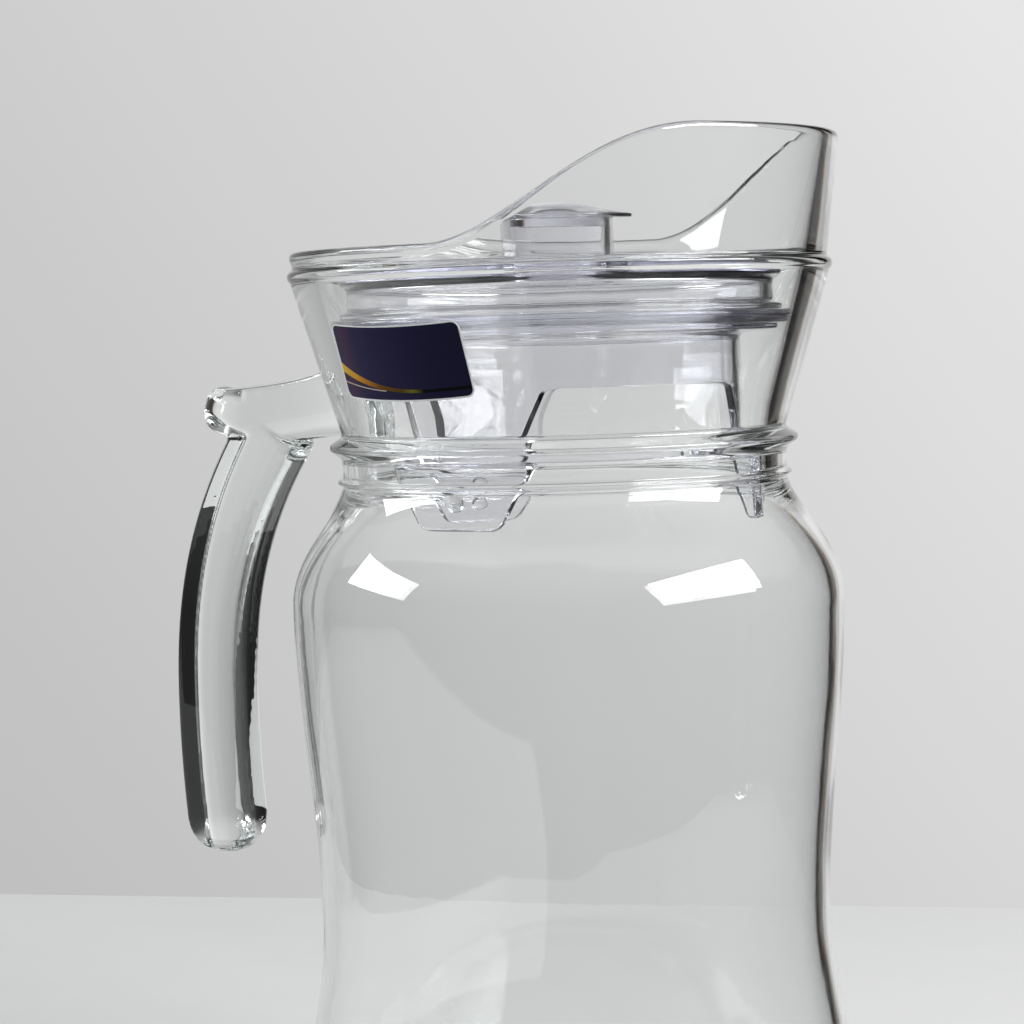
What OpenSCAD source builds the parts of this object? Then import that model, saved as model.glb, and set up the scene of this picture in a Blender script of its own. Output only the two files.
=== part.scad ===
// Large water jug: a pressed clear-glass jug with a fused open handle, and a
// lift-off clear plastic lid that turns to bring its pouring windows round.
// Millimetres. The origin is on the jug's axis in the plane it stands on.
// +Z is up, +X points to the spout, and the handle is on -X.

/* [Jug body] */
// Radius of the ring the jug stands on
foot_r = 54.5; // [45:0.5:60]
// Widest radius of the base bulge
base_r = 64; // [55:0.5:75]
// Height of the widest point of the base bulge
base_z = 25; // [15:1:40]
// Radius of the waist
waist_r = 58.1; // [48:0.1:65]
// Height of the waist
waist_z = 75; // [60:1:110]
// Radius of the shoulder
shoulder_r = 62.6; // [55:0.1:75]
// Height of the shoulder
shoulder_z = 148; // [130:1:160]
// Thickness of the body wall
wall = 3.2; // [2:0.1:6]
// Thickness of the floor at its middle
floor_t = 7; // [4:0.5:12]
// Height of the hollow under the base
punt_h = 2; // [1:0.5:6]

/* [Neck and collar] */
// Height where the shoulder meets the neck
neck_z = 175; // [165:1:180]
// Outer radius of the neck
neck_r = 50.4; // [44:0.2:56]
// Inner radius of the neck
bore_r = 45.7; // [40:0.1:50]
// Height where the flaring collar starts
cone_z = 186; // [180:1:195]
// Height of the step ridge round the collar
ridge_z = 222; // [210:1:230]
// Outer radius of the collar at the step ridge
ridge_r = 60.9; // [55:0.1:70]
// Thickness of the collar wall
collar_t = 5.6; // [4:0.1:9]
// Height of the low rim on the handle side
rim_low = 227.5; // [224:0.5:235]
// Height of the rim at the spout
rim_high = 251; // [240:0.5:260]
// Outer radius of the rim at the spout
rim_r = 63.3; // [60:0.1:70]
// Thickness of the glass at the spout's rim
rim_t = 3.4; // [3:0.1:8]

/* [Handle] */
// Distance from the axis to the middle of the grip
grip_x = 94.5; // [85:0.5:110]
// Thickness of the grip towards and away from the jug
grip_w = 16; // [12:0.5:24]
// Thickness of the grip from side to side
grip_t = 16; // [10:0.5:22]
// Height of the middle of the grip
grip_z = 121; // [100:1:140]
// Height of the top of the grip
grip_top = 188; // [175:1:195]
// Height of the middle of the grip's free end
grip_end = 93; // [80:1:110]

/* [Lid] */
// Height of the top of the lid's plate
plate_z = 222.8; // [221:0.2:230]
// Radius of the lid's plate
plate_r = 50.2; // [46:0.2:52]
// Thickness of the lid's plate and walls
lid_t = 2; // [1.5:0.1:3]
// Outer radius of the knob's post
post_r = 12.6; // [10:0.2:16]
// Height of the knob's post above the plate
post_h = 9.6; // [6:0.2:14]
// Radius of the knob's cap
cap_r = 13; // [12:0.2:18]
// Reach of the cap's lip from the axis
lip_r = 17; // [14:0.5:20]

/* [Insert] */
// Outer radius of the insert's skirt
skirt_r = 40.6; // [36:0.2:43]
// Thickness of the insert's skirt and legs
skirt_t = 1.8; // [1.2:0.1:3]
// Number of windows and of legs
windows = 3; // [2:1:4]
// Direction of the first leg round the axis
leg_turn = 25; // [0:1:120]
// Height of the top edge of the windows
window_top = 197; // [190:1:205]
// Half the width of a window at its top edge
window_w = 22.4; // [10:0.2:24]
// Height of the rib at the top of each leg
rib_z = 182.5; // [180:0.5:188]
// Outer radius of the ribs
rib_r = 45.3; // [44:0.1:45.4]
// Outer radius of the legs
leg_r = 44.8; // [43:0.1:45.2]
// Height of the lower ends of the legs
leg_end = 165.5; // [160:0.5:172]
// Half the width of a leg at its top
leg_w = 16; // [10:0.5:20]

/* [Label] */
// Height of the middle of the label
label_z = 202.5; // [198:0.5:210]
// Width of the label
label_w = 37.5; // [20:0.5:50]
// Height of the label along the glass
label_h = 17; // [10:0.5:22]
// Thickness of the label
label_t = 0.3; // [0.2:0.05:0.6]
// Direction of the label round the axis
label_turn = -104; // [-180:1:180]

/* [Hidden] */
$fn = 96;
fit = 0.3;
cone_low = neck_r - 0.2;
cone_slope = (ridge_r - cone_low) / (ridge_z - 1 - cone_z);
bore_slope = (ridge_r - collar_t - bore_r) / (ridge_z + 1 - cone_z);
shoulder_h = neck_z - shoulder_z;
grip_bend = grip_top - 6;
grip_round = 3.8;
post_z = plate_z + post_h;
lip_z = 213;
seal_low = 209.8;
seal_in = 47.6;
glass = [0.86, 0.93, 0.93, 0.45];
clear = [0.85, 0.86, 0.94, 0.6];

function blend(a, b, t) = a + (b - a) * (1 - cos(180 * t)) / 2;
function smooth(t) = t * t * (3 - 2 * t);
function arch(t) = sqrt(1 - t * t);

// Outer radius of the glass at height z, from the base up to the neck.
function body_r(z) =
    z < base_z ? foot_r + (base_r - foot_r) * arch(1 - z / base_z)
    : z < waist_z ? blend(base_r, waist_r, (z - base_z) / (waist_z - base_z))
    : z < shoulder_z
        ? blend(waist_r, shoulder_r, (z - waist_z) / (shoulder_z - waist_z))
    : neck_r + (shoulder_r - neck_r)
        * pow(1 - pow(min(1, (z - shoulder_z) / shoulder_h), 2), 1.65);

// Radius of the glass outside and inside the flaring collar at height z.
function cone_r(z) = cone_low + (z - cone_z) * cone_slope;
function seat_r(z) = bore_r + (z - cone_z) * bore_slope;

// Height of the rim above the point at x, low at the handle, high at the spout.
function rim_z(x) =
    rim_low + (rim_high - rim_low) * smooth(min(1, max(0, (x + 2) / 54)));

// ---- Glass ----

// Outline of the outside of the glass, from the foot up to the spout's rim.
function outer_line() = concat(
    [for (z = [0 : 2.5 : base_z - 2.5]) [body_r(z), z]],
    [for (z = [base_z : 6 : shoulder_z - 6]) [body_r(z), z]],
    [for (i = [0 : 8]) let (z = shoulder_z + shoulder_h * sin(11.25 * i))
        [body_r(z), z]],
    [[neck_r + 1, neck_z + 0.3], [neck_r + 1, neck_z + 0.9], [neck_r, neck_z + 1.2]],
    [[neck_r, 181], [neck_r + 2.7, 183], [neck_r + 2.7, 183.8]],
    [[cone_low, cone_z], [ridge_r, ridge_z - 1], [ridge_r + 0.6, ridge_z - 0.5]],
    [[ridge_r + 0.6, ridge_z + 0.7], [ridge_r - 0.6, ridge_z + 1.5]],
    [[rim_r, rim_high]]
);

// Outline of the inside of the glass, from the rim down to the floor.
function inner_line() = concat(
    [[rim_r - rim_t, rim_high], [ridge_r - collar_t + 0.4, ridge_z + 3]],
    [[ridge_r - collar_t, ridge_z + 1], [bore_r, cone_z]],
    [for (i = [8 : -1 : 0]) let (t = sin(11.25 * i), z = shoulder_z + shoulder_h * t)
        [body_r(z) - wall - (neck_r - bore_r - wall) * t, z]],
    [for (z = [shoulder_z - 6 : -6 : base_z]) [body_r(z) - wall, z]],
    [for (i = [0 : 5]) let (a = 18 * i)
        [46 + (base_r - wall - 46) * cos(a), base_z - 3 - (base_z - 3 - floor_t) * sin(a)]]
);

module jug_body() {
    color(glass)
    difference() {
        rotate_extrude() polygon(concat(
            [[0, punt_h], [32, punt_h], [38, 0.8], [42, 0]],
            outer_line(),
            inner_line(),
            [[0, floor_t]]
        ));
        // All the glass above the S-shaped line of the rim.
        translate([0, 80, 0]) rotate([90, 0, 0]) linear_extrude(160)
            polygon(concat(
                [for (x = [-80 : 78 : -2]) [x, rim_z(x)]],
                [for (x = [1 : 3 : 52]) [x, rim_z(x)]],
                [[80, rim_high], [80, rim_high + 20], [-80, rim_high + 20]]
            ));
    }
}

// Outline of a bar w by t with rounded corners.
module bar_line(w, t) {
    offset(grip_round, $fn = 16)
        square([w - 2 * grip_round, t - 2 * grip_round], center = true);
}

// One thin slice of the handle, x out from the axis and turned by tilt.
module slice(x, z, tilt, w, t) {
    translate([-x, 0, z]) rotate([0, tilt, 0]) linear_extrude(0.4, center = true)
        bar_line(w, t);
}

// Place along the grip at height z: its distance out, its height and its tilt.
function grip_at(z) =
    let (low = (grip_z - z) / (grip_z - grip_end), high = (z - grip_z) / (grip_bend - grip_z))
    z < grip_z ? [grip_x - 1.4 * pow(low, 2), z, -6 * low]
    : [grip_x - 16.3 * pow(high, 2.4), z, 32 * pow(high, 1.4)];

module handle() {
    steps = 7;
    arm_x = 70;
    arm_z = 189.5;
    arm_h = 15;
    color(glass)
    difference() {
        union() {
            // Grip, with a rounded free end.
            for (i = [0 : steps - 1])
                let (a = grip_at(grip_end + (grip_bend - grip_end) * i / steps),
                     b = grip_at(grip_end + (grip_bend - grip_end) * (i + 1) / steps))
                hull() {
                    slice(a[0], a[1], a[2], grip_w, grip_t);
                    slice(b[0], b[1], b[2], grip_w, grip_t);
                }
            hull() {
                slice(grip_at(grip_end)[0], grip_end, -6, grip_w, grip_t);
                translate([-grip_at(grip_end)[0], 0, grip_end - 3.5])
                    scale([grip_w / 2 - 1.5, grip_t / 2 - 1.5, 6]) sphere(1, $fn = 32);
            }
            // Bend, from the top of the grip into the arm.
            hull() {
                slice(grip_at(grip_bend)[0], grip_bend, 32, grip_w, grip_t);
                slice(81, arm_z, 90, arm_h, grip_t);
                slice(arm_x, arm_z, 90, arm_h, grip_t);
            }
            // Arm, into the collar.
            hull() {
                slice(arm_x, arm_z, 90, arm_h, grip_t);
                slice(49, arm_z + 4.2, 90, arm_h - 1, grip_t + 2);
            }
            // Thumb rest, a rounded lobe above and behind the bend.
            hull() {
                translate([-89.5, 0, 193.6]) scale([6.8, grip_t / 2, 6]) sphere(1, $fn = 24);
                translate([-82, 0, 189]) scale([6, grip_t / 2, 6]) sphere(1, $fn = 24);
            }
        }
        // The collar it is fused to, leaving 1 mm of it inside the glass.
        rotate_extrude() polygon([[0, neck_z], [cone_r(cone_z) - 1, neck_z],
            [cone_r(cone_z) - 1, cone_z], [cone_r(210) - 1, 210], [0, 210]]);
    }
}

// ---- Label ----

module label() {
    color([0.05, 0.05, 0.14])
    intersection() {
        rotate_extrude() polygon([
            [cone_r(label_z - 12), label_z - 12],
            [cone_r(label_z - 12) + label_t, label_z - 12],
            [cone_r(label_z + 12) + label_t, label_z + 12],
            [cone_r(label_z + 12), label_z + 12]
        ]);
        rotate([0, 0, label_turn]) translate([0, 0, label_z]) rotate([90, 0, 90])
            linear_extrude(90) offset(1.8) square([label_w - 4.6, label_h - 4.2], center = true);
    }
}

// ---- Lid ----

module seal_ring() {
    color([0.8, 0.8, 0.9, 0.7])
    rotate_extrude() polygon([
        [seal_in, seal_low + 0.1],
        [seat_r(seal_low) - fit - 0.4, seal_low + 0.1],
        [seat_r(seal_low + 1) - fit, seal_low + 1],
        [seat_r(lip_z - 1) - fit, lip_z - 1],
        [seat_r(lip_z) - fit - 0.7, lip_z - 0.1],
        [seal_in, lip_z - 0.1]
    ]);
}

module lid_cover() {
    color(clear)
    rotate_extrude() polygon([
        // Outside, from the lip over the seal up to the plate's edge.
        [46, lip_z], [50, lip_z], [50, lip_z + 1.2], [48.2, lip_z + 1.8],
        [48.2, plate_z - lid_t - 1], [plate_r, plate_z - lid_t],
        [plate_r, plate_z - 0.4], [plate_r - 0.4, plate_z],
        // The knob's post, open at both ends.
        [post_r, plate_z], [post_r, post_z],
        [post_r - lid_t, post_z], [post_r - lid_t, plate_z - lid_t],
        [46, plate_z - lid_t]
    ]);
}

module lid_insert() {
    color(clear)
    union() {
        // Flange under the cover, the groove for the seal, and the skirt.
        difference() {
            rotate_extrude() polygon([
                [skirt_r - skirt_t, rib_z], [skirt_r, rib_z],
                [skirt_r, seal_low - 1.8], [49, seal_low - 1.2], [49, seal_low],
                [seal_in - 0.2, seal_low], [seal_in - 0.2, lip_z],
                [skirt_r - skirt_t, lip_z]
            ]);
            for (i = [1 : windows]) rotate([0, 0, leg_turn + (i - 0.5) * 360 / windows])
                rotate([90, 0, 90]) linear_extrude(70) polygon([
                    [-window_w, window_top], [window_w, window_top],
                    [window_w + 6, rib_z - 2], [-window_w - 6, rib_z - 2]
                ]);
        }
        // Legs, each with a pointed rib across its top and tapering down.
        intersection() {
            rotate_extrude() polygon([
                [skirt_r - skirt_t, rib_z - 2], [leg_r - skirt_t, rib_z - 3],
                [leg_r - skirt_t, leg_end], [leg_r, leg_end],
                [leg_r, rib_z - 2.5], [rib_r, rib_z - 0.5],
                [skirt_r, rib_z + 2.5], [skirt_r - skirt_t, rib_z + 2.5]
            ]);
            for (i = [1 : windows]) rotate([0, 0, leg_turn + i * 360 / windows])
                rotate([90, 0, 90]) linear_extrude(70) polygon([
                    [-leg_w, rib_z + 3], [leg_w, rib_z + 3], [leg_w, rib_z - 4],
                    [leg_w * 0.65, leg_end + 1.5], [leg_w * 0.55, leg_end],
                    [-leg_w * 0.55, leg_end], [-leg_w * 0.65, leg_end + 1.5],
                    [-leg_w, rib_z - 4]
                ]);
        }
        // Small round nubs that steady the legs in the neck.
        for (i = [1 : windows]) rotate([0, 0, leg_turn + i * 360 / windows])
            translate([leg_r - skirt_t + 0.2, 0, 172]) rotate([0, 90, 0])
                cylinder(r = 2.3, h = skirt_t + 0.3, $fn = 24);
    }
}

module knob_cap() {
    color(clear)
    union() {
        rotate_extrude() polygon([
            [0, post_z - 2], [post_r - lid_t - 0.1, post_z - 2],
            [post_r - lid_t - 0.1, post_z], [cap_r, post_z], [cap_r, post_z + 1],
            [cap_r - 2.5, post_z + 2.2], [cap_r - 6, post_z + 3.3], [0, post_z + 3.8]
        ]);
        // Lip to one side, over one leg, for a finger to turn the lid by.
        rotate([0, 0, leg_turn]) translate([0, 0, post_z])
            linear_extrude(1) polygon([for (a = [-60 : 6 : 60])
                let (r = cap_r + (lip_r - cap_r) * pow(cos(1.5 * a), 2))
                [r * cos(a), r * sin(a)]]);
    }
}

jug_body();
handle();
label();
seal_ring();
lid_cover();
lid_insert();
knob_cap();
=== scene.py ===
import math

import bmesh
import bpy
from mathutils import Matrix, Vector


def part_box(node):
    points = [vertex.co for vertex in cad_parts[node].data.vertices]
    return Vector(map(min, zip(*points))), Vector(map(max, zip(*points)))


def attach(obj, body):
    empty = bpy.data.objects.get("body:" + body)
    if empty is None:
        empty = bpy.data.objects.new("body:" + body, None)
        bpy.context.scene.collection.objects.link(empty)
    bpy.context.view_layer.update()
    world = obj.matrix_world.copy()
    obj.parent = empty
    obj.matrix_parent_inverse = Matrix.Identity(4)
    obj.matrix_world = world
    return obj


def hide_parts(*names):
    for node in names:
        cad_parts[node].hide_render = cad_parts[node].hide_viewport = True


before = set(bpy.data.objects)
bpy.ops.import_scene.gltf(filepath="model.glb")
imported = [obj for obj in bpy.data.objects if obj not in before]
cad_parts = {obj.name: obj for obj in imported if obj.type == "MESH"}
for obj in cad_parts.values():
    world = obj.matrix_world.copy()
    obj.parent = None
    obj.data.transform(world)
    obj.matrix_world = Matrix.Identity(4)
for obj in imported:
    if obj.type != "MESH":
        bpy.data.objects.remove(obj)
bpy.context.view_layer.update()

# ---------------------------------------------------------------------------
# Studio. A pale table that ends a little way behind the jug, a pale room
# beyond it, two soft windows and a dim side to each hand, because clear glass
# shows its outline only where it bends a darker part of the room into view.
# ---------------------------------------------------------------------------

mm = 0.001
view_turn = math.radians(26)
view_far = 0.636
eye_height = 0.210
aim_down = math.radians(3.82)
aim_left = math.radians(1.10)
head_tilt = math.radians(-1.65)

camera_data = bpy.data.cameras.new("camera")
camera_data.lens = 98.4
camera_data.sensor_width = 36
camera_data.clip_start = 0.01
camera = bpy.data.objects.new("camera", camera_data)
bpy.context.collection.objects.link(camera)
camera.matrix_world = (
    Matrix.Translation((view_far * math.sin(view_turn), -view_far * math.cos(view_turn), eye_height))
    @ Matrix.Rotation(view_turn + aim_left, 4, "Z")
    @ Matrix.Rotation(math.pi / 2 - aim_down, 4, "X")
    @ Matrix.Rotation(head_tilt, 4, "Z")
)
scene = bpy.context.scene
scene.camera = camera
scene.view_settings.view_transform = "Standard"


class Value:
    """One output of a material; arithmetic on it adds Math nodes."""

    def __init__(self, finish, socket):
        self.finish = finish
        self.socket = socket

    def sum(self, operation, *terms):
        sockets = dict(enumerate(terms))
        return self.finish.add("ShaderNodeMath", {"operation": operation}, sockets)

    def part(self, name):
        """Another output of the same node."""
        return Value(self.finish, self.socket.node.outputs[name])

    def at_least(self, other):
        return self.sum("MAXIMUM", self, other)

    def at_most(self, other):
        return self.sum("MINIMUM", self, other)

    def held(self):
        """The value kept between 0 and 1."""
        return self.at_least(0.0).at_most(1.0)

    def __add__(self, other):
        return self.sum("ADD", self, other)

    def __radd__(self, other):
        return self.sum("ADD", other, self)

    def __sub__(self, other):
        return self.sum("SUBTRACT", self, other)

    def __rsub__(self, other):
        return self.sum("SUBTRACT", other, self)

    def __mul__(self, other):
        return self.sum("MULTIPLY", self, other)

    def __rmul__(self, other):
        return self.sum("MULTIPLY", other, self)

    def __truediv__(self, other):
        return self.sum("DIVIDE", self, other)

    def __rtruediv__(self, other):
        return self.sum("DIVIDE", other, self)

    def __pow__(self, other):
        return self.sum("POWER", self, other)

    def __gt__(self, other):
        return self.sum("GREATER_THAN", self, other)

    def __lt__(self, other):
        return self.sum("LESS_THAN", self, other)


class Finish:
    """A node tree being mixed; add() makes a node with its settings and sockets."""

    def __init__(self, owner):
        owner.use_nodes = True
        self.owner = owner
        self.tree = owner.node_tree
        self.tree.nodes.clear()

    def add(self, kind, settings=None, sockets=None, out=0):
        node = self.tree.nodes.new(kind)
        for name, value in (settings or {}).items():
            if name == "stops":
                ramp = node.color_ramp.elements
                while len(ramp) < len(value):
                    ramp.new(0.5)
                for stop, (place, colour) in zip(ramp, value):
                    stop.position = place
                    stop.color = colour
            else:
                setattr(node, name, value)
        for name, value in (sockets or {}).items():
            if isinstance(value, Value):
                self.tree.links.new(value.socket, node.inputs[name])
            else:
                node.inputs[name].default_value = value
        return Value(self, node.outputs[out]) if node.outputs else node

    def mix(self, factor, first, second):
        colours = {"Factor": factor, 6: first, 7: second}
        return self.add("ShaderNodeMix", {"data_type": "RGBA"}, colours, out=2)


def near(a, b, t):
    """The value a share t of the way from a to b."""
    return a + (b - a) * t


def eased(t):
    """0 to 1 with a level start and finish."""
    t = min(1.0, max(0.0, t))
    return t * t * (3 - 2 * t)


room = bpy.data.worlds.new("room")
scene.world = room
air = Finish(room)
way = air.add("ShaderNodeMapping", {"vector_type": "POINT"},
              {"Vector": air.add("ShaderNodeTexCoord"), "Rotation": (0, 0, -view_turn)})
to_side = air.add("ShaderNodeSeparateXYZ", None, {0: way})
round_room = to_side.sum("ARCTAN2", to_side, to_side.part("Y")) / (2 * math.pi) + 0.5


def grey(level):
    """A neutral tone."""
    return (level, level, level, 1)


# Tones of the room once round the view: the stops run from straight behind the
# camera, over its left hand, the far wall (0.5) and its right hand, and back.
walls = air.add("ShaderNodeValToRGB", {"stops": [
    (0.0, grey(0.10)), (0.12, grey(0.04)), (0.16, grey(0.01)), (0.22, grey(0.01)), (0.27, grey(0.20)),
    (0.38, grey(0.44)), (0.44, grey(0.50)), (0.47, grey(0.585)), (0.50, grey(0.665)), (0.525, grey(0.75)),
    (0.55, grey(0.79)), (0.573, grey(0.70)), (0.579, (0.20, 0.13, 0.07, 1)), (0.588, grey(0.02)),
    (0.74, grey(0.01)), (0.79, grey(0.12)), (0.87, grey(0.14)), (0.93, grey(0.08))]},
    {0: round_room})
rise = to_side.part("Z") * 0.5 + 1
ceiling = (to_side.part("Z") * 2.6 - 0.8).held()
floor_glow = (to_side.part("Z") * -4.0 - 1.0).held()
shell = air.mix(floor_glow, air.mix(ceiling, walls, grey(0.36)), grey(0.04))
backing = air.add("ShaderNodeBackground", None, {"Color": shell, "Strength": rise})
air.add("ShaderNodeOutputWorld", None, {"Surface": backing})


def window(name, place, aim, size, power, tone):
    """A soft window: an area light at place, facing aim."""
    data = bpy.data.lights.new(name, "AREA")
    data.shape = "RECTANGLE"
    data.size = size[0]
    data.size_y = size[1]
    data.energy = power
    data.color = tone
    lamp = bpy.data.objects.new(name, data)
    facing = (Vector(aim) - Vector(place)).to_track_quat("-Z", "Y")
    lamp.matrix_world = Matrix.Translation(place) @ facing.to_matrix().to_4x4()
    bpy.context.collection.objects.link(lamp)


def from_view(right, back, up):
    """A place given to the right of, behind and above the jug as the camera sees it."""
    turn = Matrix.Rotation(view_turn, 3, "Z")
    return turn @ Vector((right, back, up))


window_aim = (0, 0, 0.16)
window("window_right", from_view(1.04, -0.51, 0.76), window_aim, (1.1, 0.48), 26, (1, 0.995, 0.98))
window("window_left", from_view(-1.17, 0.04, 0.74), window_aim, (0.75, 0.30), 8, (0.98, 0.99, 1))

# The table reaches further forward on the left, and stops close by on the right,
# so that the grip's two edges bend the unlit floor beyond it into view.
table_left = -1.6
table_right = 0.18
table_step = -0.12
left_front = -0.42
right_front = -0.2
left_back = 0.672
right_back = 0.3378
table_top_z = -0.2 * mm
table_mesh = bpy.data.meshes.new("table")
table_corners = [
    (table_left, left_front), (table_step, left_front), (0, right_front), (table_right, right_front),
    (table_right, right_back), (table_left, left_back)]
table_mesh.from_pydata(
    [from_view(right, back, table_top_z) for right, back in table_corners], [], [range(len(table_corners))])
table = bpy.data.objects.new("table", table_mesh)
bpy.context.collection.objects.link(table)
table_top = Finish(bpy.data.materials.new("table_top"))
speckle = table_top.add("ShaderNodeTexNoise", None, {"Scale": 60.0, "Detail": 4.0})
table_colour = table_top.mix(speckle, (0.575, 0.582, 0.583, 1), (0.605, 0.612, 0.613, 1))
table_top.add("ShaderNodeOutputMaterial", None, {"Surface": table_top.add(
    "ShaderNodeBsdfPrincipled", None, {"Base Color": table_colour, "Roughness": 0.45})})
table_mesh.materials.append(table_top.owner)

# ---------------------------------------------------------------------------
# Jug glass: body and handle, pressed and fused into one piece of clear soda
# glass, so they are one skin here. The body is a lathe line whose collar is
# drawn up to the rim's own height at each turn.
# ---------------------------------------------------------------------------

body_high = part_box("jug_body")[1]

foot_r = 54.5 * mm
base_r = 64 * mm
base_z = 25 * mm
waist_r = 58.1 * mm
waist_z = 75 * mm
shoulder_r = 62.6 * mm
shoulder_z = 148 * mm
body_wall = 3.2 * mm
floor_top = 7 * mm
neck_z = 175 * mm
neck_r = 50.4 * mm
bore_r = 45.7 * mm
cone_z = 186 * mm
ridge_z = 222 * mm
ridge_r = 60.9 * mm
collar_wall = 5.6 * mm
rim_low = 227.5 * mm
rim_high = body_high.z
rim_r = 63.3 * mm
rim_wall = 3.4 * mm
rim_foot = 4.6 * mm
rim_start = ridge_z + 2.6 * mm
collar_r = ridge_r - 0.6 * mm
spout_rise = 54 * mm


def arch(t):
    """Height of a quarter circle at t, 1 at 0 and 0 at 1."""
    return math.sqrt(max(0.0, 1 - t * t))


def waved(a, b, t):
    """From a to b along half a cosine wave."""
    return a + (b - a) * (1 - math.cos(math.pi * t)) / 2


def body_r(z):
    """Outer radius of the glass at height z, from the foot to the neck."""
    if z < base_z:
        return foot_r + (base_r - foot_r) * arch(1 - z / base_z)
    if z < waist_z:
        return waved(base_r, waist_r, (z - base_z) / (waist_z - base_z))
    if z < shoulder_z:
        return waved(waist_r, shoulder_r, (z - waist_z) / (shoulder_z - waist_z))
    up = (z - shoulder_z) / (neck_z - shoulder_z)
    return neck_r + (shoulder_r - neck_r) * (1 - up ** 2) ** 1.65


def turned_line(corners, steps=5):
    """A line through corners (r, z, rounding), each rounded by its amount.

    One more point close to each end of a rounding keeps the stretch between flat.
    """
    line = []
    for i, (r, z, rounding) in enumerate(corners):
        here = Vector((r, z))
        if rounding == 0 or i in (0, len(corners) - 1):
            line.append(here)
            continue
        back = Vector(corners[i - 1][:2]) - here
        on = Vector(corners[i + 1][:2]) - here
        reach = min(rounding, back.length * 0.45, on.length * 0.45)
        start = here + back.normalized() * reach
        end = here + on.normalized() * reach
        line.append(here + back.normalized() * min(reach * 1.25, back.length * 0.49))
        for k in range(steps + 1):
            t = k / steps
            line.append(start * (1 - t) ** 2 + here * 2 * t * (1 - t) + end * t * t)
        line.append(here + on.normalized() * min(reach * 1.25, on.length * 0.49))
    return [(p.x, p.y) for p in line]


def rim_height(turn):
    """Height of the rim at a turn from the spout: low at the handle, high at the spout."""
    z = rim_high
    for _ in range(4):
        reach = near(collar_r, rim_r, (z - ridge_z) / (rim_high - ridge_z)) * math.cos(turn)
        z = near(rim_low, rim_high, eased((reach + 2 * mm) / spout_rise))
    return z


punt = [(0, 2 * mm, 0), (30 * mm, 2 * mm, 4 * mm), (40 * mm, 0, 3 * mm), (50 * mm, 0, 3 * mm)]
foot_steps = [base_z * (1 - math.cos(math.pi / 2 * i / 12)) for i in range(1, 12)]
side_steps = [near(base_z, shoulder_z, i / 60) for i in range(60)]
shoulder_steps = [near(shoulder_z, neck_z, i / 26) for i in range(27)]

below_neck = turned_line(punt)
below_neck += [(body_r(z), z) for z in foot_steps + side_steps + shoulder_steps[:-1]]
above_neck = turned_line([
    (neck_r, neck_z - 0.2 * mm, 0), (neck_r + 1.1 * mm, 175.3 * mm, 0.4 * mm),
    (neck_r + 1.1 * mm, 175.9 * mm, 0.4 * mm), (neck_r, 176.4 * mm, 0.6 * mm),
    (neck_r, 180.8 * mm, 1 * mm), (neck_r + 2.7 * mm, 182.8 * mm, 0.9 * mm),
    (neck_r + 2.7 * mm, 183.9 * mm, 0.9 * mm), (neck_r - 0.2 * mm, cone_z - 0.2 * mm, 1 * mm),
    (ridge_r - 0.1 * mm, ridge_z - 1.4 * mm, 0.8 * mm),
    (ridge_r + 0.6 * mm, ridge_z - 0.6 * mm, 0.5 * mm),
    (ridge_r + 0.6 * mm, ridge_z + 0.7 * mm, 0.6 * mm),
    (collar_r, ridge_z + 1.6 * mm, 0.6 * mm), (collar_r + 0.1 * mm, rim_start, 0),
])
inner_low = turned_line([
    (collar_r - rim_foot + 0.1 * mm, ridge_z + 2.4 * mm, 0),
    (collar_r - rim_foot, ridge_z + 1.6 * mm, 0.8 * mm),
    (ridge_r - collar_wall, ridge_z + 0.4 * mm, 0.8 * mm),
    (bore_r, cone_z, 6 * mm), (bore_r, neck_z + 0.5 * mm, 0),
])
neck_wall = neck_r - bore_r
inner_side = [
    (body_r(z) - near(body_wall, neck_wall, (z - shoulder_z) / (neck_z - shoulder_z)), z)
    for z in reversed(shoulder_steps)]
inner_side += [(body_r(z) - body_wall, z) for z in reversed(side_steps)]
heel_r = 46 * mm
heel_z = base_z - 3 * mm
side_r = body_r(base_z) - body_wall
inner_floor = [
    (near(heel_r, side_r, math.cos(a)), near(heel_z, floor_top, math.sin(a)))
    for a in [math.pi / 2 * i / 12 for i in range(1, 13)]]
inner_floor += [(heel_r * t, floor_top) for t in (0.8, 0.5, 0.25, 0)]


def collar_line(turn):
    """The collar above the ridge at one turn: up the outside, over the rim and down."""
    top = rim_height(turn)
    lift = (top - ridge_z) / (rim_high - ridge_z)
    outside = near(collar_r, rim_r, lift)
    thick = near(rim_foot, rim_wall, lift)
    crown = 1.7 * mm
    shoulder = top - crown
    outer_foot = collar_r + 0.1 * mm
    inner_foot = outer_foot - rim_foot
    square = 0.62
    rows = 13
    line = []
    for i in range(1, rows):
        t = i / rows
        line.append((near(outer_foot, outside, t), near(rim_start, shoulder, t)))
    for i in range(15):
        a = math.pi * i / 14
        across = math.copysign(abs(math.cos(a)) ** square, math.cos(a))
        up = abs(math.sin(a)) ** square
        line.append((outside - thick / 2 + thick / 2 * across, shoulder + crown * up))
    for i in range(rows - 1, 0, -1):
        t = i / rows
        line.append((near(inner_foot, outside - thick, t), near(rim_start - 0.2 * mm, shoulder, t)))
    return line


def solid(name, shape):
    """A piece of its own made from a finished shape, with its faces turned outwards."""
    bmesh.ops.recalc_face_normals(shape, faces=shape.faces)
    mesh = bpy.data.meshes.new(name)
    shape.to_mesh(mesh)
    shape.free()
    piece = bpy.data.objects.new(name, mesh)
    bpy.context.collection.objects.link(piece)
    return piece


def smooth(piece):
    """Shade every face of a piece as part of one smooth surface."""
    piece.data.polygons.foreach_set("use_smooth", [True] * len(piece.data.polygons))


on_axis = 1e-7


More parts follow.
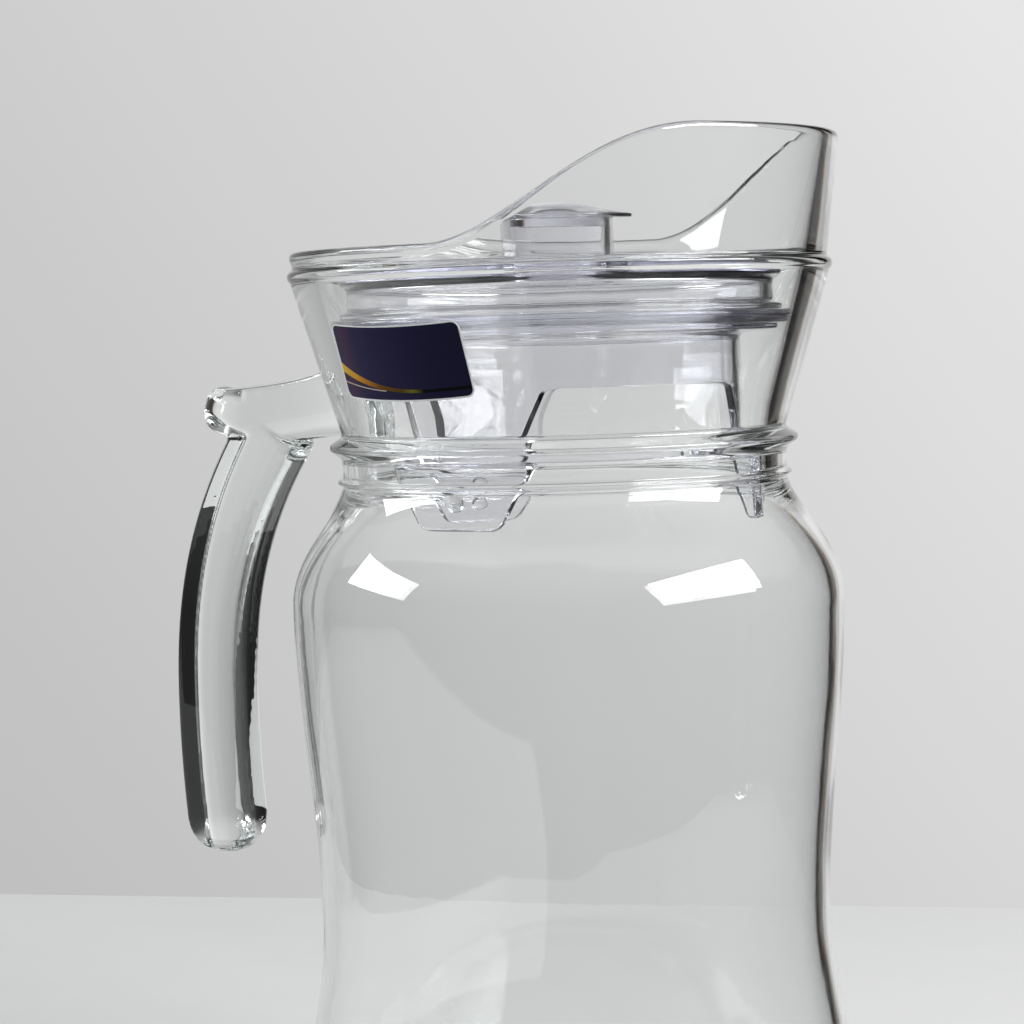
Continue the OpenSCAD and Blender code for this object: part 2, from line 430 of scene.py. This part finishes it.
def lathe(name, line_at, steps):
    """A closed skin turned round the axis; line_at(turn) gives the line at that turn."""
    shape = bmesh.new()
    poles = {}
    columns = []
    for i in range(steps):
        turn = 2 * math.pi * i / steps
        column = []
        for k, (r, z) in enumerate(line_at(turn)):
            if r < on_axis:
                if k not in poles:
                    poles[k] = shape.verts.new((0, 0, z))
                column.append(poles[k])
            else:
                column.append(shape.verts.new((r * math.cos(turn), r * math.sin(turn), z)))
        columns.append(column)
    count = len(columns[0])
    bands = count - 1 if poles else count
    for i, a in enumerate(columns):
        b = columns[(i + 1) % steps]
        for k in range(bands):
            n = (k + 1) % count
            shape.faces.new(list(dict.fromkeys((a[k], b[k], b[n], a[n]))))
    piece = solid(name, shape)
    smooth(piece)
    return piece


def apply_modifiers(piece):
    """Fix a piece's modifiers into its mesh."""
    graph = bpy.context.evaluated_depsgraph_get()
    mesh = bpy.data.meshes.new_from_object(piece.evaluated_get(graph))
    piece.modifiers.clear()
    piece.data = mesh


def jug_line(turn):
    """The whole wall of the jug at one turn: up the outside and down the inside."""
    return below_neck + above_neck + collar_line(turn) + inner_low + inner_side + inner_floor


glass = lathe("jug_glass", jug_line, 288)

# The handle: a bar, square behind and full in front, swept along its own line,
# with a rounded free end and a thumb rest. A fine remesh melts them together.

grip_x = 94.5 * mm
grip_half = 8 * mm
grip_side = 8 * mm
grip_round = 1.3 * mm
grip_z = 121 * mm
grip_top = 182 * mm
grip_end = 93 * mm


def section(half, side, steps=9):
    """A bar's outline, half deep and side wide each way: square behind, full in front."""
    fullness = 0.7
    corner = min(grip_round, half * 0.9, side * 0.9)
    points = []
    for quarter in range(4):
        for i in range(steps):
            a = math.pi / 2 * (quarter + i / steps)
            u = math.cos(a)
            v = math.sin(a)
            if u > -1e-6:
                points.append((half * abs(u) ** fullness, math.copysign(side * abs(v) ** fullness, v)))
            else:
                corner_v = math.copysign(side - corner, v)
                points.append((corner - half + corner * u, corner_v + corner * v))
    return points


def sweep(name, stations):
    """A closed bar through stations (x, z, half, side), cut squarely across its line."""
    shape = bmesh.new()
    rings = []
    for i, (x, z, half, side) in enumerate(stations):
        before = stations[max(0, i - 1)]
        after = stations[min(len(stations) - 1, i + 1)]
        along = Vector((after[0] - before[0], after[1] - before[1])).normalized()
        out = Vector((-along.y, along.x))
        rings.append([shape.verts.new((-(x + out.x * u), v, z + out.y * u))
                      for u, v in section(half, side)])
    for a, b in zip(rings, rings[1:]):
        for k in range(len(a)):
            n = (k + 1) % len(a)
            shape.faces.new((a[k], a[n], b[n], b[k]))
    shape.faces.new(rings[0])
    shape.faces.new(list(reversed(rings[-1])))
    return solid(name, shape)


def grip_place(z):
    """Distance of the grip's middle from the axis at height z."""
    if z < grip_z:
        return grip_x - 1.4 * mm * ((grip_z - z) / (grip_z - grip_end)) ** 2
    return grip_x - 16.3 * mm * ((z - grip_z) / (grip_top - grip_z)) ** 2.4


end_reach = 9.3 * mm
end_cap = []
for degrees in (89, 80, 68, 55, 42, 28, 14):
    a = math.radians(degrees)
    share = max(0.03, math.cos(a)) ** 0.8
    end_z = grip_end - end_reach * math.sin(a)
    end_cap.append((grip_place(grip_end), end_z, grip_half * share, grip_side * share))
grip_line = [(grip_place(z), z, grip_half, grip_side)
             for z in [near(grip_end, grip_top + 5 * mm, i / 30) for i in range(31)]]
arm_line = [(near(86 * mm, 54 * mm, t), near(189.6 * mm, 193.4 * mm, t ** 1.4),
             near(7.4 * mm, 6.9 * mm, t) + 1.6 * mm * t ** 5, grip_side + 1.4 * mm * t ** 4)
            for t in [i / 12 for i in range(13)]]
lobe_line = [(near(80 * mm, 94.4 * mm, t), near(189 * mm, 194.2 * mm, t),
              5.6 * mm * arch(max(0, t - 0.45) / 0.57), grip_side * arch(max(0, t - 0.45) / 0.57))
             for t in [i / 12 for i in range(13)]]



def join(piece, other):
    """Unite another piece with this one."""
    joined = piece.modifiers.new("join", "BOOLEAN")
    joined.operation = "UNION"
    joined.solver = "EXACT"
    joined.object = other


handle = sweep("grip", end_cap + grip_line)
handle_parts = [sweep("arm", arm_line), sweep("lobe", lobe_line)]
for part in handle_parts:
    join(handle, part)
melt = handle.modifiers.new("melt", "REMESH")
melt.mode = "VOXEL"
melt.voxel_size = 0.45 * mm
relax = handle.modifiers.new("relax", "SMOOTH")
relax.factor = 0.5
relax.iterations = 3
apply_modifiers(handle)
for part in handle_parts:
    bpy.data.objects.remove(part)

join(glass, handle)
apply_modifiers(glass)
bpy.data.objects.remove(handle)
smooth(glass)

jug_glass = Finish(bpy.data.materials.new("clear_glass"))
place = jug_glass.add("ShaderNodeTexCoord", out=3)
ripple = jug_glass.add("ShaderNodeTexNoise", None, {
    "Vector": place, "Scale": 26.0, "Detail": 1.5, "Roughness": 0.4})
film = jug_glass.add("ShaderNodeTexNoise", None, {
    "Vector": place, "Scale": 90.0, "Detail": 6.0, "Roughness": 0.65})
smear = (film - 0.52).at_least(0.0) * 0.12
peel = jug_glass.add("ShaderNodeTexNoise", None, {
    "Vector": place, "Scale": 170.0, "Detail": 2.0, "Roughness": 0.5})
pressed = jug_glass.add("ShaderNodeBump", None, {
    "Height": ripple + peel * 0.04, "Strength": 0.3, "Distance": 0.0006})
tint = jug_glass.mix(ripple, (0.985, 0.995, 0.992, 1), (1, 1, 1, 1))
skin = jug_glass.add("ShaderNodeBsdfPrincipled", None, {
    "Base Color": tint, "Roughness": smear, "IOR": 1.51, "Transmission Weight": 1.0, "Normal": pressed})
depth_tint = jug_glass.add("ShaderNodeVolumeAbsorption", None, {
    "Color": (0.80, 0.93, 0.89, 1), "Density": 6.0})
jug_glass.add("ShaderNodeOutputMaterial", None, {"Surface": skin, "Volume": depth_tint})
glass.data.materials.clear()
glass.data.materials.append(jug_glass.owner)
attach(glass, "jug")
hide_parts("jug_body", "handle")

# ---------------------------------------------------------------------------
# Label: a printed film on the collar, cut flat as a round-cornered rectangle
# and wrapped round the cone, so its long edges sag a little in the middle.
# ---------------------------------------------------------------------------

label_turn = math.radians(-104)
label_z = 202.5 * mm
label_w = 37.4 * mm
label_h = 16.9 * mm
label_corner = 1.9 * mm
film_t = 0.26 * mm
cone_low_r = neck_r - 0.2 * mm
cone_lean = math.atan((ridge_r - cone_low_r) / (ridge_z - 1 * mm - cone_z))
label_slant = (cone_low_r + (label_z - cone_z) * math.tan(cone_lean)) / math.sin(cone_lean)


def wrap(along, up, lift):
    """A point of the flat label, along and up from its middle, laid on the cone."""
    slant = math.hypot(label_slant + up, along)
    turn = label_turn + math.atan2(along, label_slant + up) / math.sin(cone_lean)
    r = slant * math.sin(cone_lean) + lift * math.cos(cone_lean)
    z = label_z + (slant - label_slant) * math.cos(cone_lean) - lift * math.sin(cone_lean)
    return (r * math.cos(turn), r * math.sin(turn), z)


def slab(name, rows):
    """A closed sheet: each row is a list of (under, over) point pairs."""
    shape = bmesh.new()
    under = [[shape.verts.new(pair[0]) for pair in row] for row in rows]
    over = [[shape.verts.new(pair[1]) for pair in row] for row in rows]
    last = len(rows) - 1
    for i in range(last):
        for j in range(len(rows[0]) - 1):
            shape.faces.new((under[i][j], under[i + 1][j], under[i + 1][j + 1], under[i][j + 1]))
            shape.faces.new((over[i][j], over[i][j + 1], over[i + 1][j + 1], over[i + 1][j]))
        for j in (0, -1):
            shape.faces.new((under[i][j], over[i][j], over[i + 1][j], under[i + 1][j]))
    for i in (0, last):
        for j in range(len(rows[0]) - 1):
            shape.faces.new((under[i][j], under[i][j + 1], over[i][j + 1], over[i][j]))
    return solid(name, shape)


film_gap = 0.04 * mm
label_steps = 40
half_steps = 32
label_rows = []
for i in range(label_steps + 1):
    rise = -math.cos(math.pi * i / label_steps) * label_h / 2
    inset = max(0.0, abs(rise) - (label_h / 2 - label_corner))
    half = label_w / 2 - label_corner + math.sqrt(max(0.0, label_corner ** 2 - inset ** 2))
    shares = [j / half_steps for j in range(-half_steps, half_steps + 1)]
    label_rows.append([(wrap(half * t, rise, film_gap), wrap(half * t, rise, film_t)) for t in shares])
label = slab("label_film", label_rows)

# The print is worked out in millimetres along and up from the label's middle.
to_mm = 1000
label_print_and_sheen = Finish(bpy.data.materials.new("label_film"))
spot = label_print_and_sheen.add("ShaderNodeMapping", {"vector_type": "POINT"}, {
    "Vector": label_print_and_sheen.add("ShaderNodeTexCoord", out=3), "Rotation": (0, 0, -label_turn)})
spot_x = label_print_and_sheen.add("ShaderNodeSeparateXYZ", None, {0: spot})
spread = spot_x.sum("ARCTAN2", spot_x.part("Y"), spot_x) * math.sin(cone_lean)
slant = (spot_x.part("Z") - label_z) / math.cos(cone_lean) + label_slant
along = slant * spread.sum("SINE", spread) * to_mm
up = (slant * spread.sum("COSINE", spread) - label_slant) * to_mm

reach = ((7.0 - along).at_least(0.0) / 25.2) ** 2.2
swoosh_top = reach * 5.5 - 5.9
swoosh_low = reach * 4.15 - 6.65
hair = reach * 1.7 - 6.4
in_swoosh = (up < swoosh_top) * (up > swoosh_low)
in_hair = ((up - hair).sum("ABSOLUTE", up - hair) < 0.13) * (along < -4.0)
edge_x = along.sum("ABSOLUTE", along)
edge_y = up.sum("ABSOLUTE", up)
corner = label_corner * to_mm
out_x = (edge_x - (label_w / 2 * to_mm - corner)).at_least(0.0)
out_y = (edge_y - (label_h / 2 * to_mm - corner)).at_least(0.0)
from_corner = (out_x * out_x + out_y * out_y) ** 0.5
paper_edge = from_corner > corner - 0.32
share_across = along / 36 + 0.5

# The navy and gold are printed colours with painted sheen laid over them. Both are painted lighter and warmer
# near the swoosh's wide end and darker towards the far end, so the gold swoosh runs from a painted bright
# highlight down to dark brown.
navy_with_painted_sheen = label_print_and_sheen.add("ShaderNodeValToRGB", {"stops": [
    (0.0, (0.006, 0.002, 0.045, 1)), (0.07, (0.030, 0.004, 0.040, 1)),
    (0.2, (0.004, 0.0012, 0.042, 1)), (1.0, (0.0008, 0.0005, 0.026, 1))]}, {0: share_across})
gold_with_painted_sheen = label_print_and_sheen.add("ShaderNodeValToRGB", {"stops": [
    (0.0, (0.62, 0.40, 0.012, 1)), (0.16, (0.48, 0.20, 0.004, 1)), (0.34, (0.12, 0.045, 0.004, 1)),
    (0.52, (0.06, 0.035, 0.004, 1)), (0.60, (0.12, 0.11, 0.012, 1)),
    (0.68, (0.002, 0.003, 0.004, 1))]}, {0: share_across})
foil_grain = label_print_and_sheen.add("ShaderNodeTexNoise", None, {
    "Vector": label_print_and_sheen.add("ShaderNodeTexCoord", out=3), "Scale": 2600.0, "Detail": 3.0})
# The label's colour: print, hairline and paper edge, carrying the painted sheen of the ramps above.
print_with_painted_sheen = label_print_and_sheen.mix(in_swoosh, navy_with_painted_sheen, gold_with_painted_sheen)
print_with_painted_sheen = label_print_and_sheen.mix(in_hair, print_with_painted_sheen, (0.50, 0.42, 0.36, 1))
print_with_painted_sheen = label_print_and_sheen.mix(paper_edge, print_with_painted_sheen, (0.86, 0.87, 0.88, 1))
printed_bump = label_print_and_sheen.add("ShaderNodeBump", None, {
    "Height": foil_grain * 0.3 + in_swoosh * 0.7, "Strength": 0.2, "Distance": 0.00004})
film_skin = label_print_and_sheen.add("ShaderNodeBsdfPrincipled", None, {
    "Base Color": print_with_painted_sheen, "Roughness": 0.08 + foil_grain * 0.08, "Metallic": in_swoosh * 0.75,
    "Specular IOR Level": 0.12, "Normal": printed_bump})
label_print_and_sheen.add("ShaderNodeOutputMaterial", None, {"Surface": film_skin})
label.data.materials.append(label_print_and_sheen.owner)
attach(label, "jug")
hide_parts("label")

# ---------------------------------------------------------------------------
# Lid cover: an injection-moulded plate of clear plastic with a hollow post for
# the knob and a low wall whose lip sits over the seal ring.
# ---------------------------------------------------------------------------

cover_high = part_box("lid_cover")[1]
plate_r = cover_high.x
plate_z = 222.8 * mm
plastic_t = 2 * mm
cover_in = 46 * mm
groove_r = 48.2 * mm
seat_r = 50 * mm
post_r = 12.6 * mm
post_top = cover_high.z
seat_z = 213 * mm

cover_line = turned_line([
    (48 * mm, seat_z, 0), (seat_r, seat_z, 0.3 * mm), (seat_r, seat_z + 1.2 * mm, 0.4 * mm),
    (groove_r, seat_z + 1.9 * mm, 0.6 * mm), (groove_r, plate_z - 3.1 * mm, 0.9 * mm),
    (plate_r, plate_z - 1.9 * mm, 0.6 * mm), (plate_r, plate_z, 0.6 * mm),
    (post_r, plate_z, 0.9 * mm), (post_r, post_top, 0.25 * mm),
    (post_r - plastic_t, post_top, 0.25 * mm), (post_r - plastic_t, plate_z - plastic_t, 0.5 * mm),
    (cover_in, plate_z - plastic_t, 1.4 * mm), (cover_in, seat_z, 0.3 * mm), (47 * mm, seat_z, 0),
])
cover = lathe("lid_cover_shell", lambda turn: cover_line, 224)

clear_plastic = Finish(bpy.data.materials.new("clear_plastic"))
flow = clear_plastic.add("ShaderNodeTexNoise", None, {
    "Vector": clear_plastic.add("ShaderNodeTexCoord", out=3), "Scale": 55.0, "Detail": 2.0, "Roughness": 0.5})
scuff = clear_plastic.add("ShaderNodeTexNoise", None, {
    "Vector": clear_plastic.add("ShaderNodeTexCoord", out=3),
    "Scale": 420.0, "Detail": 5.0, "Roughness": 0.7})
moulded = clear_plastic.add("ShaderNodeBump", None, {"Height": flow, "Strength": 0.2, "Distance": 0.0003})
plastic_skin = clear_plastic.add("ShaderNodeBsdfPrincipled", None, {
    "Base Color": clear_plastic.mix(flow, (0.97, 0.97, 0.995, 1), (0.995, 0.995, 1, 1)),
    "Roughness": (scuff - 0.55).at_least(0.0) * 0.1, "IOR": 1.56,
    "Transmission Weight": 1.0, "Normal": moulded})
plastic_depth = clear_plastic.add("ShaderNodeVolumeAbsorption", None, {
    "Color": (0.74, 0.75, 0.95, 1), "Density": 12.0})
clear_plastic.add("ShaderNodeOutputMaterial", None, {
    "Surface": plastic_skin, "Volume": plastic_depth})
cover.data.materials.append(clear_plastic.owner)
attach(cover, "lid")
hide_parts("lid_cover")

# ---------------------------------------------------------------------------
# Knob cap: a thin domed disc pressed into the post, drawn out to one side into
# a lip that a finger lifts and turns the lid by.
# ---------------------------------------------------------------------------

cap_r = 12.9 * mm
lip_r = 16.9 * mm
lip_turn = math.radians(25)
lip_spread = 0.62
plug_r = post_r - plastic_t - 0.1 * mm
plug_z = post_top - 2 * mm
cap_gap = 0.02 * mm


def cap_line(turn):
    """The cap's line at one turn, drawn out where it passes the lip."""
    off = (turn - lip_turn + math.pi) % (2 * math.pi) - math.pi
    drawn = math.exp(-(off / lip_spread) ** 2)
    reach = near(cap_r, lip_r, drawn)
    edge = near(1.0, 0.8, drawn) * mm
    return turned_line([
        (0, post_top + 3.7 * mm, 0), (5 * mm, post_top + 3.5 * mm, 3 * mm),
        (cap_r - 2.8 * mm, post_top + 1.9 * mm, 2.4 * mm),
        (reach, post_top + edge, 0.4 * mm), (reach - 0.1 * mm, post_top + cap_gap, 0.4 * mm),
        (plug_r, post_top + cap_gap, 0.2 * mm), (plug_r, plug_z, 0.3 * mm), (0, plug_z, 0)])


cap = lathe("knob_cap_shell", cap_line, 192)
cap.data.materials.append(clear_plastic.owner)
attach(cap, "lid")
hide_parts("knob_cap")

# ---------------------------------------------------------------------------
# Lid insert: the moulded skirt under the cover. Three windows let the water
# through, and the wall left between them runs down as three ribbed legs.
# ---------------------------------------------------------------------------

skirt_r = 40.6 * mm
skirt_in = 38.8 * mm
flange_r = 49 * mm
flange_in = 47.4 * mm
flange_z = 209.8 * mm
window_top = 197 * mm
window_half = 22.4 * mm
window_flare = 6 * mm
rib_z = 182.5 * mm
leg_r = 44.8 * mm
leg_in = 43 * mm
leg_end = 165.5 * mm
leg_half = 16 * mm
leg_corner = 2.2 * mm
corner_cut = 1.5 * mm
legs = 3
pillar_steps = 24
window_steps = 40
rows_down = 64

flange_line = turned_line([
    (skirt_r, window_top, 0), (skirt_r, flange_z - 1.9 * mm, 1.2 * mm),
    (flange_r, flange_z - 1.2 * mm, 0.5 * mm), (flange_r, flange_z, 0.3 * mm),
    (flange_in, flange_z, 0.2 * mm), (flange_in, seat_z, 0.3 * mm),
    (skirt_in, seat_z, 0.4 * mm), (skirt_in, window_top, 0)])
outer_down = turned_line([
    (skirt_r, window_top, 0), (skirt_r, rib_z + 3 * mm, 1 * mm), (45.3 * mm, rib_z, 0.5 * mm),
    (leg_r, rib_z - 1.8 * mm, 0.8 * mm), (leg_r, leg_end + 0.5 * mm, 0)])
inner_down = turned_line([
    (skirt_in, window_top, 0), (skirt_in, rib_z + 1.5 * mm, 1 * mm), (41.5 * mm, rib_z - 1.2 * mm, 0.8 * mm),
    (leg_in, rib_z - 3.4 * mm, 1 * mm), (leg_in, leg_end, 0)])


def evenly(line, count):
    """The line cut again into count equal steps."""
    points = [Vector(p) for p in line]
    spans = [(b - a).length for a, b in zip(points, points[1:])]
    total = sum(spans)
    result = []
    for i in range(count + 1):
        goal = total * i / count
        k = 0
        while k < len(spans) - 1 and goal > spans[k]:
            goal -= spans[k]
            k += 1
        result.append(points[k].lerp(points[k + 1], min(1.0, goal / spans[k])))
    return [(p.x, p.y) for p in result]


def wall_half_turn(r, z):
    """Half the turn that the wall between two windows takes up at radius r and height z."""
    opening = near(window_half, window_half + window_flare, (window_top - z) / (window_top - rib_z + 2 * mm))
    rise = z - (window_top - corner_cut)
    if rise > 0:
        opening += math.sqrt(max(0.0, corner_cut ** 2 - rise ** 2)) - corner_cut
    pillar = math.pi / legs - math.asin(min(0.99, opening / r))
    taper = min(1.0, max(0.0, (rib_z - 4 * mm - z) / (rib_z - 4 * mm - leg_end)))
    leg = near(leg_half, leg_half * 0.6, taper)
    drop = leg_end + leg_corner - z
    if drop > 0:
        leg += math.sqrt(max(0.0, leg_corner ** 2 - drop ** 2)) - leg_corner
    return near(math.asin(leg / r), pillar, eased((z - rib_z) / (3 * mm)))


outer_rows = evenly(outer_down, rows_down)
inner_rows = evenly(inner_down, rows_down)
insert_shape = bmesh.new()


def insert_vert(r, z, turn):
    """A point of the insert at radius r, height z and turn."""
    return insert_shape.verts.new((r * math.cos(turn), r * math.sin(turn), z))


# Once round the insert: each wall between two windows, then the window after it.
columns = []
for leg in range(legs):
    centre = lip_turn + 2 * math.pi * leg / legs
    side = wall_half_turn(skirt_r, window_top)
    for i in range(pillar_steps + 1):
        share = near(-1, 1, i / pillar_steps)
        columns.append((leg, share, centre + side * share))
    for i in range(1, window_steps):
        start = centre + side
        stop = centre + 2 * math.pi / legs - side
        columns.append((None, 0, near(start, stop, i / window_steps)))
band = [[insert_vert(r, z, turn) for r, z in flange_line] for _, _, turn in columns]
drops = []
for (leg, share, _), column in zip(columns, band):
    if leg is None:
        drops.append(None)
        continue
    centre = lip_turn + 2 * math.pi * leg / legs
    outside = [column[0]]
    inside = [column[-1]]
    for (r, z), (ri, zi) in zip(outer_rows[1:], inner_rows[1:]):
        outside.append(insert_vert(r, z, centre + share * wall_half_turn(r, z)))
        inside.append(insert_vert(ri, zi, centre + share * wall_half_turn(ri, zi)))
    drops.append((leg, outside, inside))
for i, column in enumerate(band):
    onward = (i + 1) % len(band)
    beside = band[onward]
    for k in range(len(flange_line) - 1):
        insert_shape.faces.new((column[k], beside[k], beside[k + 1], column[k + 1]))
    here, there = drops[i], drops[onward]
    if here is None or there is None or here[0] != there[0]:
        insert_shape.faces.new((column[-1], beside[-1], beside[0], column[0]))
        continue
    for k in range(rows_down):
        insert_shape.faces.new((here[1][k], here[1][k + 1], there[1][k + 1], there[1][k]))
        insert_shape.faces.new((here[2][k], there[2][k], there[2][k + 1], here[2][k + 1]))
    insert_shape.faces.new((here[1][-1], here[2][-1], there[2][-1], there[1][-1]))
for (leg, share, _), drop in zip(columns, drops):
    if leg is not None and abs(share) == 1:
        for k in range(rows_down):
            insert_shape.faces.new((drop[1][k], drop[2][k], drop[2][k + 1], drop[1][k + 1]))
insert = solid("lid_insert_shell", insert_shape)
eased_edges = insert.modifiers.new("eased_edges", "BEVEL")
eased_edges.width = 0.3 * mm
eased_edges.segments = 2
eased_edges.limit_method = "ANGLE"
eased_edges.angle_limit = math.radians(40)

nub_z = 172 * mm
nub_size = (1 * mm, 2.3 * mm, 2.3 * mm, 1)
nub_shape = bmesh.new()
for leg in range(legs):
    turn = lip_turn + 2 * math.pi * leg / legs
    nub_place = (Matrix.Rotation(turn, 4, "Z") @ Matrix.Translation((leg_r - 0.1 * mm, 0, nub_z))
                 @ Matrix.Diagonal(nub_size))
    bmesh.ops.create_uvsphere(nub_shape, u_segments=32, v_segments=20, radius=1, matrix=nub_place)
nubs = solid("nubs", nub_shape)
join(insert, nubs)
apply_modifiers(insert)
bpy.data.objects.remove(nubs)
smooth(insert)
level = insert.modifiers.new("level", "WEIGHTED_NORMAL")
level.keep_sharp = False
insert.data.materials.append(clear_plastic.owner)
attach(insert, "lid")
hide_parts("lid_insert")

# ---------------------------------------------------------------------------
# Seal ring: a soft clear ring held in the groove between cover and insert. It
# grips the collar and stays put while the lid turns.
# ---------------------------------------------------------------------------

seal_low, seal_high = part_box("seal_ring")
seal_in = 47.6 * mm
seal_out = seal_high.x
seal_line = turned_line([
    (seal_in + 1 * mm, seal_low.z, 0), (seal_out - 1.2 * mm, seal_low.z, 0.6 * mm),
    (seal_out - 0.5 * mm, seal_low.z + 1 * mm, 0.6 * mm), (seal_out, seal_high.z - 1 * mm, 0.6 * mm),
    (seal_out - 0.5 * mm, seal_high.z, 0.6 * mm), (seal_in, seal_high.z, 0.4 * mm),
    (seal_in, seal_low.z, 0.4 * mm), (seal_in + 0.5 * mm, seal_low.z, 0)])
seal = lathe("seal_ring_shell", lambda turn: seal_line, 224)
soft_plastic = Finish(bpy.data.materials.new("seal_plastic"))
cloud = soft_plastic.add("ShaderNodeTexNoise", None, {
    "Vector": soft_plastic.add("ShaderNodeTexCoord", out=3), "Scale": 140.0, "Detail": 4.0})
soft_skin = soft_plastic.add("ShaderNodeBsdfPrincipled", None, {
    "Base Color": soft_plastic.mix(cloud, (0.92, 0.92, 0.98, 1), (0.97, 0.97, 1, 1)),
    "Roughness": cloud * 0.12 + 0.03, "IOR": 1.45, "Transmission Weight": 1.0,
    "Normal": soft_plastic.add("ShaderNodeBump", None, {
        "Height": cloud, "Strength": 0.25, "Distance": 0.0002})})
soft_depth = soft_plastic.add("ShaderNodeVolumeAbsorption", None, {
    "Color": (0.62, 0.63, 0.82, 1), "Density": 22.0})
soft_plastic.add("ShaderNodeOutputMaterial", None, {"Surface": soft_skin, "Volume": soft_depth})
seal.data.materials.append(soft_plastic.owner)
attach(seal, "lid_seat")
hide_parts("seal_ring")

# Light has to pass through many skins of glass and plastic in a row.
scene.cycles.max_bounces = 32
scene.cycles.transmission_bounces = 32
scene.cycles.glossy_bounces = 8
scene.cycles.transparent_max_bounces = 16
